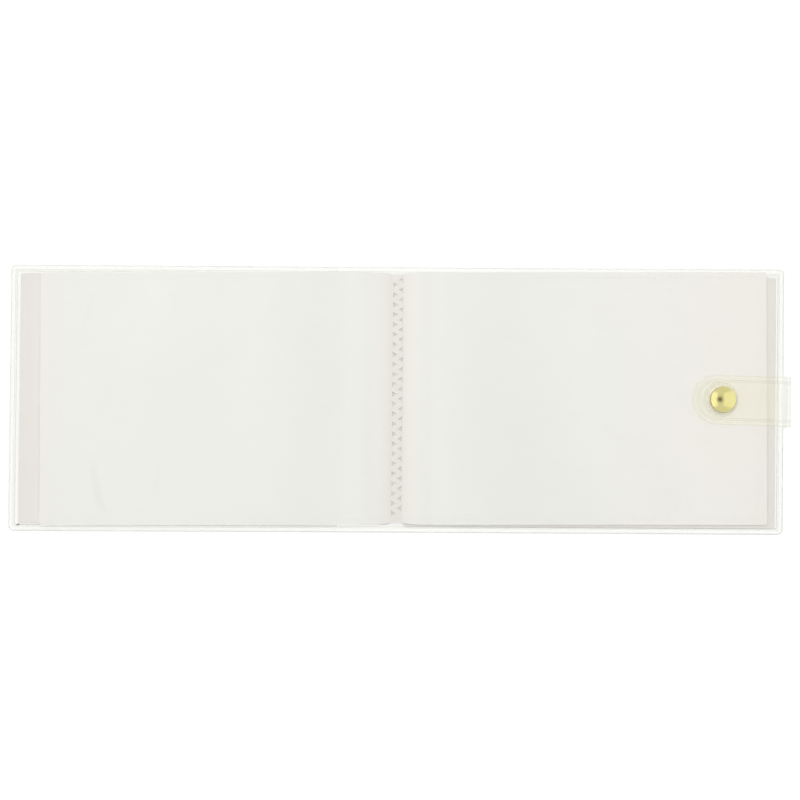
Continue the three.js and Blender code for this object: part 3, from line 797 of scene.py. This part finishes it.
def film_solid(reach, half, middle, columns, rows, height_at, fold, creased=()):
    """Points and faces of one thin film: two sheets of a grid, closed along their edges, with
    extra lines across each creased stretch, (from, to). It also gives each point's painted shade,
    from its slope and creases, and how tightly it is pressed at the gutter or rubbed at its edge."""
    body = reach - FILM_CORNER - GUTTER_START
    across = [GUTTER_START + body * (i / columns) ** GRID_CROWDING for i in range(columns + 1)]
    for start, end in creased:
        count = round((end - start) / CREASE_STEP)
        across += [start + (end - start) * i / count for i in range(count + 1)]
    places = [
        (x, half - GUTTER_DIP * math.exp(-(x - GUTTER_START) / DIP_REACH)) for x in sorted(across)
    ]
    corner = quarter_turn(reach - FILM_CORNER, half - FILM_CORNER, FILM_CORNER, 0, 5)
    places += corner[-2::-1]
    points, shades, pressed = [], [], []
    for thickness in (0.0, FILM):
        for x, reach_y in places:
            for row in range(rows + 1):
                y = middle + reach_y * (2 * row / rows - 1)
                points.append(Vector((x, y, height_at(x, y) + thickness)))
                # Painted shade from the slope of the film, and from its creases.
                climb = height_at(x + SLOPE_STEP, y) - height_at(x - SLOPE_STEP, y)
                slope = abs(climb) / (2 * SLOPE_STEP)
                free = min(max(x / ARCH_FOOT - SHADED_FROM, 0.0), 1.0)
                shades.append(free * slope / (slope + STEEP_SLOPE) + CREASE_PAINTED_SHADE * fold(x, y))
                handled = FORE_EDGE_WEAR * math.exp(-(reach - x) / FORE_EDGE_REACH)
                pressed.append(max(pressed_share(x), handled))
    wide, tall = len(places), rows + 1
    under = wide * tall
    sheet = loft([range(tall)] * wide)
    faces = sheet + [tuple(under + k for k in face) for face in sheet]
    border = [i * tall for i in range(wide)]
    border += [(wide - 1) * tall + j for j in range(1, tall)]
    border += [i * tall + rows for i in range(wide - 2, -1, -1)]
    border += list(range(rows - 1, 0, -1))
    for a, b in zip(border, border[1:] + border[:1]):
        faces.append((a, under + a, under + b, b))
    return points, faces, shades, pressed


def weld_dots(reach, half, middle, bottom_at, top_at):
    """Points and faces of the small triangular welds along a leaf's top and bottom."""
    points, faces = [], []
    count = int((reach - GUTTER_START - 2 * DOT_PITCH) / DOT_PITCH)
    for side in (-1, 1):
        for i in range(count):
            x = GUTTER_START + DOT_PITCH * (i + 1.5)
            y = middle + side * (half - DOT_INSET)
            first = len(points)
            for height_at, stand in ((bottom_at, -DOT_STAND), (top_at, DOT_STAND)):
                for corner in range(3):
                    angle = math.radians(90 * side + 120 * corner)
                    px = x + DOT_RADIUS * math.cos(angle)
                    py = y + DOT_RADIUS * math.sin(angle)
                    points.append(Vector((px, py, height_at(px, py) + stand)))
            a, b, c, d, e, f = range(first, first + 6)
            faces += [(a, c, b), (d, e, f), (a, b, e, d), (b, c, f, e), (c, a, d, f)]
    return points, faces


CREASED = ((0.0810, 0.0915), (0.1066, 0.1175))


def creases(x, y):
    """Faint lines where the top left film has been folded and smoothed out again: a low ridge, with
    painted shade along each line.
    """
    line = 0.0
    for x0, y0, x1, y1, strength in (
        (0.1135, -0.0190, 0.1100, -0.0410, 0.5),
        (0.1120, -0.0300, 0.1085, -0.0430, 0.35),
        (0.0885, -0.0225, 0.0900, -0.0390, 0.3),
        (0.1110, 0.0440, 0.1165, 0.0240, 0.3),
        (0.0845, 0.0410, 0.0820, 0.0330, 0.25),
    ):
        run = Vector((x1 - x0, y1 - y0))
        at = Vector((x - x0, y - y0))
        t = min(max(at.dot(run) / run.length_squared, 0), 1)
        away = (at - run * t).length
        fade = math.sin(math.pi * min(max(t, 0.02), 0.98))
        line += strength * fade * math.exp(-((away / CREASE_WIDTH) ** 2))
    return line


def uncreased(x, y):
    """All other films are free of folds."""
    return 0.0


band_low, band_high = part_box("binding_band")
leaf_half = (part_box("right_leaf_1_upper_film")[1].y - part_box("right_leaf_1_upper_film")[0].y) / 2
for leaf in range(1, LEAVES + 1):
    low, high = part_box(f"right_leaf_{leaf}_lower_film")
    upper_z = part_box(f"right_leaf_{leaf}_upper_film")[0].z
    right_reach, half, middle = high.x, (high.y - low.y) / 2, (high.y + low.y) / 2
    left_reach = -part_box(f"left_leaf_{leaf}_upper_film")[0].x / math.cos(left_tilt)
    depth = (leaf - 1) / (LEAVES - 1)
    root = band_high.z - BAND_SKIN - depth * (band_high.z - band_low.z - 2 * BAND_SKIN)
    for side, body, reach, arch, sign, slant in (
        ("right", "back_half", right_reach, RIGHT_ARCH, 1, FORE_EDGE_SLANT),
        ("left", f"left_leaf_{leaf}", left_reach, LEFT_ARCH, -1, 0.0),
    ):
        stagger = LEAF_STAGGER * noise.noise(Vector((leaf * 1.7, 0.3 if side == "left" else 0.9, 0)))
        reach = reach - abs(stagger)
        fold = creases if (leaf == 1 and side == "left") else uncreased

        def lower_at(x, y):
            return leaf_height(x, y, low.z, root - FILM - FILM_GAP, leaf, arch)

        def upper_at(x, y):
            return leaf_height(x, y, upper_z, root, leaf, arch) + CREASE_RISE * fold(x, y)

        def upper_face(x, y):
            return upper_at(x, y) + FILM

        def placed(p):
            x = sign * p.x
            laid = Vector((x * (1 - slant * p.y), p.y + stagger + x * PAGE_TURN, p.z))
            return laid if side == "right" else on_left(laid)

        for layer, height_at in (("lower", lower_at), ("upper", upper_at)):
            columns, rows = FINE_GRID if leaf == 1 and layer == "upper" else PLAIN_GRID
            folded = fold if layer == "upper" else uncreased
            creased = CREASED if folded is creases else ()
            points, faces, shades, pressed = film_solid(
                reach, half, middle, columns, rows, height_at, folded, creased
            )
            name, solid = f"{side}_pocket_{leaf}_{layer}", (points, faces)
            film = add_piece(name, solid, frosted_film, 60, placed)
            for mask, values in (("shade", shades), ("pressed", pressed)):
                film.data.attributes.new(mask, "FLOAT", "POINT").data.foreach_set("value", values)
            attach(film, body)
            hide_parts(f"{side}_leaf_{leaf}_{layer}_film")
        solid = weld_dots(reach, half, middle, lower_at, upper_face)
        name = f"{side}_pocket_{leaf}_welds"
        dots = add_piece(name, solid, dot_film, 60, placed)
        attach(dots, body)


# In the gutter all folios are fused into one band. A heated tool has pressed two staggered
# columns of small triangles into it, which point at each other over a fine raised seam.
TRIANGLE_PITCH = 0.0037
TRIANGLE_RADIUS = 0.00105
TRIANGLE_DEPTH = 0.00045
TRIANGLE_FLOOR = 0.84
TRIANGLE_SHIFT = 0.0006
COLUMN_OFFSET = 0.00131
BAND_SHIFT = 0.0002
BAND_ENDS = 0.003
BAND_LAP = 0.0003
SEAM_RISE = 0.00012
BAND_TOP_DROP = 0.0001
# The colour of the painted shade deep in the triangles' pits.
PIT_SHADE_COLOR = (0.63, 0.615, 0.55, 1)
BAND_TURN = math.tan(math.radians(0.26))


def pressed_band(low, high):
    """Points and faces of the fused band: a cell for each triangle, with its pit, and the flat
    underside and sides that close it."""
    points, faces, index = [], [], {}

    def at(x, y, z):
        key = (round(x, 7), round(y, 7), round(z, 7))
        if key not in index:
            index[key] = len(points)
            points.append(Vector((x, y, z)))
        return index[key]

    top, side = high.z - BAND_TOP_DROP, high.x + BAND_LAP
    middle = (low.y + high.y) / 2 + TRIANGLE_SHIFT
    count = int((high.y - low.y - BAND_ENDS) / TRIANGLE_PITCH)
    first = middle - TRIANGLE_PITCH * (count + 0.5) / 2
    edges, seam = {-1: [], 1: []}, []
    for column, start in ((-1, first), (1, first + TRIANGLE_PITCH / 2)):
        for i in range(count):
            y0, y1 = start + i * TRIANGLE_PITCH, start + (i + 1) * TRIANGLE_PITCH
            ym = (y0 + y1) / 2
            outer_low, outer_high = at(column * side, y0, top), at(column * side, y1, top)
            inner_low, inner_high = at(0, y0, top + SEAM_RISE), at(0, y1, top + SEAM_RISE)
            inner_middle = at(0, ym, top + SEAM_RISE)
            cx = column * COLUMN_OFFSET
            brim, floor = [], []
            for corner in range(3):
                angle = math.radians((0 if column < 0 else 180) + 120 * corner)
                dx, dy = TRIANGLE_RADIUS * math.cos(angle), TRIANGLE_RADIUS * math.sin(angle)
                brim.append(at(cx + dx, ym + dy, top))
                dx, dy = TRIANGLE_FLOOR * dx, TRIANGLE_FLOOR * dy
                floor.append(at(cx + dx, ym + dy, top - TRIANGLE_DEPTH))
            tip, back_a, back_b = brim
            back_high, back_low = (back_a, back_b) if column < 0 else (back_b, back_a)
            faces.append((outer_low, back_low, back_high, outer_high))
            faces.append((outer_low, inner_low, inner_middle, tip, back_low))
            faces.append((outer_high, back_high, tip, inner_middle, inner_high))
            faces += [(brim[k], brim[(k + 1) % 3], floor[(k + 1) % 3], floor[k]) for k in range(3)]
            faces.append(tuple(floor))
            edges[column] += [outer_low, outer_high]
            seam += [inner_low, inner_middle, inner_high]
    ends = []
    for y in (low.y + GUTTER_DIP, high.y - GUTTER_DIP):
        ends.append([at(-side, y, top), at(0, y, top + SEAM_RISE / 2), at(side, y, top)])

    rim_left, rim_right, seam = (
        sorted(set(line), key=lambda k: points[k].y) for line in (edges[-1], edges[1], seam)
    )
    left_low, left_high = rim_left[0], rim_left[-1]
    right_low, right_high = rim_right[0], rim_right[-1]
    below = [k for k in seam if points[k].y <= points[right_low].y]
    above = [k for k in seam if points[k].y >= points[left_high].y]
    faces.append((ends[0][0], ends[0][1], below[0], left_low))
    faces.append(tuple([ends[0][1], ends[0][2], right_low] + below[::-1]))
    faces.append((ends[1][1], ends[1][2], right_high, above[-1]))
    faces.append(tuple([ends[1][0], ends[1][1]] + above[::-1] + [left_high]))
    outline = [ends[0][0]] + rim_left + [ends[1][0], ends[1][1], ends[1][2]]
    outline += rim_right[::-1] + [ends[0][2], ends[0][1]]
    base = [at(points[k].x, points[k].y, low.z) for k in outline]
    size = len(outline)
    for k in range(size):
        faces.append((outline[k], outline[(k + 1) % size], base[(k + 1) % size], base[k]))
    faces.append(tuple(base))
    return points, faces


gutter_film = fused_plastic("gutter_film", FUSED_COLOR, FUSED_WORN)
tree = gutter_film.node_tree
flat_tone = tree.nodes["Principled BSDF"].inputs["Base Color"].links[0].from_socket
# Painted shade: the triangles' pits turn darker with their depth.
pit_top = band_high.z - BAND_TOP_DROP - 0.4 * TRIANGLE_DEPTH
pit_floor = band_high.z - BAND_TOP_DROP - 0.8 * TRIANGLE_DEPTH
pit_shade_share = ranged(tree, own_axis(tree, "Z"), 0.0, 1.0, pit_top, pit_floor)
set_looks(tree, {"Base Color": mixed(tree, pit_shade_share, flat_tone, PIT_SHADE_COLOR)})


def in_gutter(point):
    """The band sits a little to the right of the gutter's middle, and slightly turned."""
    return Vector((point.x + BAND_SHIFT + point.y * BAND_TURN, point.y, point.z))


band_solid = pressed_band(band_low, band_high)
band = add_piece("gutter_weld", band_solid, gutter_film, 30, in_gutter)
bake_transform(band)
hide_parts("binding_band")


# The strap is a tongue of the cover sheet with a thin vinyl lining welded under it, faintly
# yellow where it is double. It stands up at the fore-edge and folds in over the leaves.
STRAP_COLOR = (0.88, 0.87, 0.72, 1)
LINING_COLOR = (0.855, 0.80, 0.45, 1)
STRAP_EDGE_COLOR = (0.64, 0.62, 0.43, 1)
STRAP_WELD_COLOR = (0.36, 0.34, 0.17, 1)
STRAP_FLAT = 0.0030
STRAP_WELD_INSET = 0.0018
STRAP_WELD_WIDTH = 0.0006
ROOT_BEND = 0.0012
TOP_BEND = 0.0016
TONGUE_STEPS = 24
TIP_STEPS = 24
RISER_PINCH = 0.00012
STRAP_TURN = 0.03
TIP_STRETCH = 0.0014
LINING_STANDS_BACK = 0.003

strap_vinyl = clear_plastic(
    "strap_vinyl", STRAP_COLOR, see_through=0.94, edge_on=0.12, roughness=0.12, bump=0.03
)
lining_vinyl = clear_plastic(
    "lining_vinyl", LINING_COLOR, see_through=0.925, edge_on=0.12, roughness=0.14, bump=0.03
)
strap_edge = clear_plastic(
    "strap_edge", STRAP_EDGE_COLOR, see_through=0.87, edge_on=0.4, roughness=0.3, bump=0.03
)
strap_weld = clear_plastic(
    "strap_weld", STRAP_WELD_COLOR, see_through=0.72, edge_on=0.5, roughness=0.3, bump=0.03
)
flap_low, flap_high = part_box("strap_flap")
web_low, web_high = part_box("strap_web")
sheet_middle = cover_sheet / 2
web_x = web_high.x - sheet_middle
flap_z = (flap_low.z + flap_high.z) / 2
split_z = (web_low.z + web_high.z) / 2


def bend_path(start, steps):
    """A path in the x-z plane from a start, (x, z, heading), over straights and quarter turns.
    It comes as a function, which gives the place and the outward direction at a distance along
    the path, and as the path's length."""
    lengths = [size if kind == "straight" else size * math.pi / 2 for kind, size in steps]

    def at(distance):
        x, z, heading = start
        for (kind, size), length in zip(steps, lengths):
            run = min(distance, length)
            if kind == "straight":
                x += run * math.cos(heading)
                z += run * math.sin(heading)
            else:
                x += size * (math.sin(heading + run / size) - math.sin(heading))
                z += size * (math.cos(heading) - math.cos(heading + run / size))
                heading += run / size
            distance -= run
        return x, z, (math.sin(heading), -math.cos(heading))

    return at, sum(lengths)


def on_path(path, distance, y, out):
    """The point at a distance along a path, at a height out from it."""
    x, z, (nx, nz) = path(distance)
    return Vector((x + out * nx, y, z + out * nz))


tongue_end = cover_reach + TONGUE
lower_path, lower_length = bend_path((tongue_end, sheet_middle, 0.0), (
    ("straight", web_x - ROOT_BEND - tongue_end),
    ("turn", ROOT_BEND),
    ("straight", split_z - sheet_middle - ROOT_BEND),
))
h = sheet_middle  # half the thickness of the strap's sheet
strap_side = [
    (strap_half * 0.5, -h), (strap_half - 0.0002, -h), (strap_half - 0.00006, -h + 0.0001),
    (strap_half, 0.0), (strap_half - 0.00006, h - 0.0001), (strap_half - 0.0002, h),
    (strap_half * 0.5, h),
]
strap_section = [(0.0, -h), *strap_side, (0.0, h), *((-y, out) for y, out in reversed(strap_side))]
lower_lines = []
for i in range(TONGUE_STEPS + 1):
    distance = lower_length * i / TONGUE_STEPS
    pinch = RISER_PINCH * math.sin(math.pi * i / TONGUE_STEPS)
    lower_lines.append([
        on_path(lower_path, distance, y * (1 - pinch / strap_half), out)
        for y, out in strap_section
    ])
riser = add_piece("strap_riser_sheet", tube_solid(lower_lines), strap_vinyl)
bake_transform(riser)
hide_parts("strap_web")

flap_run = web_x - TOP_BEND - flap_low.x + TIP_STRETCH
upper_path, upper_length = bend_path((web_x, split_z, math.pi / 2), (
    ("straight", flap_z - TOP_BEND - split_z),
    ("turn", TOP_BEND),
    ("straight", flap_run),
))


def strap_turned(point):
    """The strap was folded in slightly askew: its tip lies a millimetre towards the top."""
    along = max(web_x - point[0], 0.0)
    return Vector((point[0], point[1] + along * STRAP_TURN, point[2]))


def tongue_line(inset, out, path, length, first=0.0):
    """One line up a strap's side, round its tip and back, at one inset and height."""
    radius = strap_half - inset
    centre = length - strap_half
    side = [first + (centre - first) * i / TONGUE_STEPS for i in range(TONGUE_STEPS + 1)]
    tip = [math.radians(-90 + 180 * i / TIP_STEPS) for i in range(1, TIP_STEPS)]
    line = [(distance, -radius) for distance in side]
    line += [(centre + radius * math.cos(a), radius * math.sin(a)) for a in tip]
    line += [(distance, radius) for distance in reversed(side)]
    return [strap_turned(on_path(path, distance, y, out)) for distance, y in line]


def tongue_solid(lines):
    """Points and faces of a strap sheet, its flats filled by rungs from side to side."""
    points = [p for line in lines for p in line]
    count, last = len(lines[0]), len(lines) - 1
    faces = loft(lines)
    for row in (0, last):
        first = row * count
        for j in range(count // 2):
            a, b = first + j, first + j + 1
            c, d = first + count - 2 - j, first + count - 1 - j
            faces.append((a, b, d) if b == c else (a, b, c, d))
    faces.append(end_face(lines))
    return points, faces


weld_end = STRAP_WELD_INSET + STRAP_WELD_WIDTH
flap_rim = [
    (STRAP_FLAT, h), (weld_end + 0.0001, h), (weld_end - 0.00005, h - 0.00009),
    (STRAP_WELD_INSET + 0.00005, h - 0.00009), (STRAP_WELD_INSET - 0.0001, h),
    (0.0009, h + 0.00003), (0.00035, h), (0.00008, h - 0.0001), (0.0, 0.0),
    (0.00008, -h + 0.0001), (0.0003, -h), (STRAP_FLAT, -h),
]
flap_lines = [tongue_line(inset, out, upper_path, upper_length) for inset, out in flap_rim]
flap = add_piece("strap_flap_sheet", tongue_solid(flap_lines), strap_vinyl)
mark_lines(flap, len(flap_lines[0]), [(1, 2, strap_weld), (3, 4, strap_weld), (6, 9, strap_edge)])
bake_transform(flap)
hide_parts("strap_flap")

lining_low, lining_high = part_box("strap_lining")
q = (lining_high.z - lining_low.z) / 2  # half the thickness of the lining
lining_drop = flap_z - (lining_low.z + q)
lining_rim = [
    (STRAP_FLAT, -lining_drop + q), (0.0004, -lining_drop + q), (0.0002, -lining_drop + 0.5 * q),
    (0.00015, -lining_drop), (0.0002, -lining_drop - 0.5 * q), (0.0004, -lining_drop - q),
    (STRAP_FLAT, -lining_drop - q),
]
lining_start = upper_length - flap_run + LINING_STANDS_BACK
lining_lines = [
    tongue_line(inset, out, upper_path, upper_length, lining_start) for inset, out in lining_rim
]
lining = add_piece("strap_lining_sheet", tongue_solid(lining_lines), lining_vinyl)
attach(lining, "strap")
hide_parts("strap_lining")


# The ring snap is pressed from pale polished brass: a domed cap with a rolled edge on top of the
# strap, a socket with an open spring of drawn steel wire below it, and a stud with its rivet on
# the front cover. Setting the cap has left a faint mark in the vinyl beside it, set off to the
# cap's left, where it also serves as painted shadow of the cap.
BRASS_COLOR = (0.68, 0.63, 0.29, 1)
WORN_BRASS_COLOR = (0.64, 0.575, 0.235, 1)
STEEL_COLOR = (0.62, 0.63, 0.65, 1)
WORN_STEEL_COLOR = (0.5, 0.51, 0.53, 1)
SNAP_SHIFT = 0.0002
TURNED_STEPS = 72
DOME_STEPS = 18
DOME_FOOT = 0.0003
POST_RADIUS = 0.0015
POST_END_RADIUS = 0.00185
PRESS_RING = 0.0057
PRESS_RING_HALF_WIDTH = 0.0009
PRESS_RING_RISE = 0.00005
PRESS_RING_SHADOW_SHIFT = 0.0010
SPRING_OPENING = math.radians(40)
SPRING_STEPS = 64
WIRE_STEPS = 12


def polished_metal(name, color, worn, roughness):
    """Polished metal with fine rubbing marks that change its colour and gloss."""
    material, tree = new_material(name)
    marks = grouped(tree, soft_marks, "Size", 700.0)["Marks"]
    set_looks(tree, {
        "Base Color": mixed(tree, marks, color, worn),
        "Metallic": 1.0,
        "Roughness": ranged(tree, marks, roughness * 0.85, roughness * 1.15),
    })
    return material


polished_brass = polished_metal("polished_brass", BRASS_COLOR, WORN_BRASS_COLOR, roughness=0.17)
drawn_steel = polished_metal("drawn_steel", STEEL_COLOR, WORN_STEEL_COLOR, roughness=0.3)


def on_strap(point):
    """The snap sits a touch above the middle of the strap."""
    return Vector((point[0], point[1] + (web_x - snap_x) * STRAP_TURN + SNAP_SHIFT, point[2]))


def turned(profile, x, z):
    """Points and faces of a turned solid: its profile, (radius, height), starts and ends on the
    axis, or closes on itself."""
    lines, points, faces = [], [], []
    for radius, height in profile:
        line = []
        for step in range(TURNED_STEPS if radius > 0 else 1):
            angle = 2 * math.pi * step / TURNED_STEPS
            line.append(len(points))
            points.append((x + radius * math.cos(angle), radius * math.sin(angle), z + height))
        lines.append(line)
    closed = profile[0][0] > 0
    pairs = list(zip(lines, lines[1:] + (lines[:1] if closed else [])))
    for a, b in pairs:
        for step in range(TURNED_STEPS):
            after = (step + 1) % TURNED_STEPS
            if len(a) == 1 and len(b) > 1:
                faces.append((a[0], b[after], b[step]))
            elif len(b) == 1 and len(a) > 1:
                faces.append((a[step], a[after], b[0]))
            elif len(a) > 1:
                faces.append((a[step], a[after], b[after], b[step]))
    return points, faces


cap_low, cap_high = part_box("snap_cap")
snap_x = (cap_low.x + cap_high.x) / 2
cap_radius = cap_high.x - snap_x
cap_seat = flap_high.z
cap_rise = cap_high.z - cap_seat
dome = [
    (0.0, cap_low.z), (POST_END_RADIUS, cap_low.z), (POST_END_RADIUS, cap_low.z + 0.00035),
    (POST_RADIUS, cap_low.z + 0.00045), (POST_RADIUS, cap_seat + 0.0001),
    (cap_radius - 0.0004, cap_seat + 0.00006), (cap_radius - 0.0001, cap_seat + 0.0001),
    (cap_radius, cap_seat + 0.0002), (cap_radius - 0.00006, cap_seat + 0.0003),
]
for step in range(1, DOME_STEPS + 1):
    share = math.sin((1 - step / DOME_STEPS) * math.pi / 2)
    height = cap_seat + DOME_FOOT + (cap_rise - DOME_FOOT) * (1 - share**2)
    dome.append(((cap_radius - 0.0002) * share, height))
dome[-1] = (0.0, cap_high.z)
cap_solid = turned(dome, snap_x, 0.0)
cap = add_piece("snap_cap_dome", cap_solid, polished_brass, 40, on_strap)
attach(cap, "strap")
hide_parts("snap_cap")

press_ring = [
    (PRESS_RING + PRESS_RING_HALF_WIDTH * math.cos(a), PRESS_RING_RISE * math.sin(a))
    for a in around(12)
]
# The ring stands off to the cap's left, so only its left side shows: partly the press mark, partly
# painted shadow of the cap.
mark_solid = turned(press_ring, snap_x - PRESS_RING_SHADOW_SHIFT, cap_seat + 0.00001)
ring_mark_and_shadow = add_piece("snap_press_mark_and_shadow", mark_solid, strap_edge, 60, on_strap)
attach(ring_mark_and_shadow, "strap")

socket_low, socket_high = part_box("snap_socket")
tall = socket_high.z - socket_low.z
socket = [
    (0.0017, tall), (0.0017, tall - 0.00035), (0.0035, tall - 0.00035), (0.0035, 0.00035),
    (0.0026, 0.00035), (0.0025, 0.00025), (0.0025, 0.0001), (0.0026, 0.0), (0.0040, 0.0),
    (0.0044, 0.0001), (0.0046, 0.0003), (0.0047, 0.0006), (0.0047, tall - 0.0002),
    (0.0046, tall - 0.00005), (0.0044, tall),
]
socket_solid = turned(socket, snap_x, socket_low.z)
socket_cup = add_piece("snap_socket_cup", socket_solid, polished_brass, 40, on_strap)
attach(socket_cup, "strap")
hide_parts("snap_socket")

spring_low, spring_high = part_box("snap_spring")
spring_z = (spring_low.z + spring_high.z) / 2
wire = (spring_high.z - spring_low.z) / 2
ring = spring_high.y - wire
wire_lines = []
for i in range(SPRING_STEPS + 1):
    turn = SPRING_OPENING / 2 + (2 * math.pi - SPRING_OPENING) * i / SPRING_STEPS
    line = []
    for angle in around(WIRE_STEPS):
        out = ring + wire * math.cos(angle)
        z = spring_z + wire * math.sin(angle)
        line.append((snap_x + out * math.cos(turn), out * math.sin(turn), z))
    wire_lines.append(line)
spring_solid = tube_solid(wire_lines)
spring = add_piece("snap_spring_ring", spring_solid, drawn_steel, 60, on_strap)
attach(spring, "strap")
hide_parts("snap_spring")

stud_reach = -(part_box("snap_stud")[0].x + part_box("snap_stud")[1].x) / 2 / math.cos(left_tilt)
stud = [
    (0.0, -0.0025), (0.0015, -0.0025), (0.0018, -0.00243), (0.0020, -0.0022), (0.0020, -0.0020),
    (0.0018, -0.00165), (0.0016, -0.0014), (0.0016, -0.0008), (0.0018, -0.0006), (0.0024, -0.0005),
    (0.0042, -0.00045), (0.0044, -0.0004), (0.0045, -0.00025), (0.0044, -0.0001), (0.0042, -0.00005),
    (0.001, -0.00005), (0.001, -0.00115), (0.0, -0.00115),
]
stud_solid = turned(stud, -stud_reach, 0.0)
stud_piece = add_piece("snap_stud_post", stud_solid, polished_brass, 40, on_left)
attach(stud_piece, "front_half")
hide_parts("snap_stud")

rivet_head = cover_sheet + 0.00005
rivet = [
    (0.0, -0.0011), (0.0008, -0.0011), (0.0009, -0.001), (0.0009, rivet_head), (0.0038, rivet_head),
    (0.0040, rivet_head + 0.0001), (0.00395, rivet_head + 0.0002), (0.0037, rivet_head + 0.00028),
    (0.0034, rivet_head + 0.0003), (0.0, rivet_head + 0.0003),
]
rivet_solid = turned(rivet, -stud_reach, 0.0)
rivet_piece = add_piece("snap_rivet_head", rivet_solid, polished_brass, 40, on_left)
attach(rivet_piece, "front_half")
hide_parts("snap_rivet")
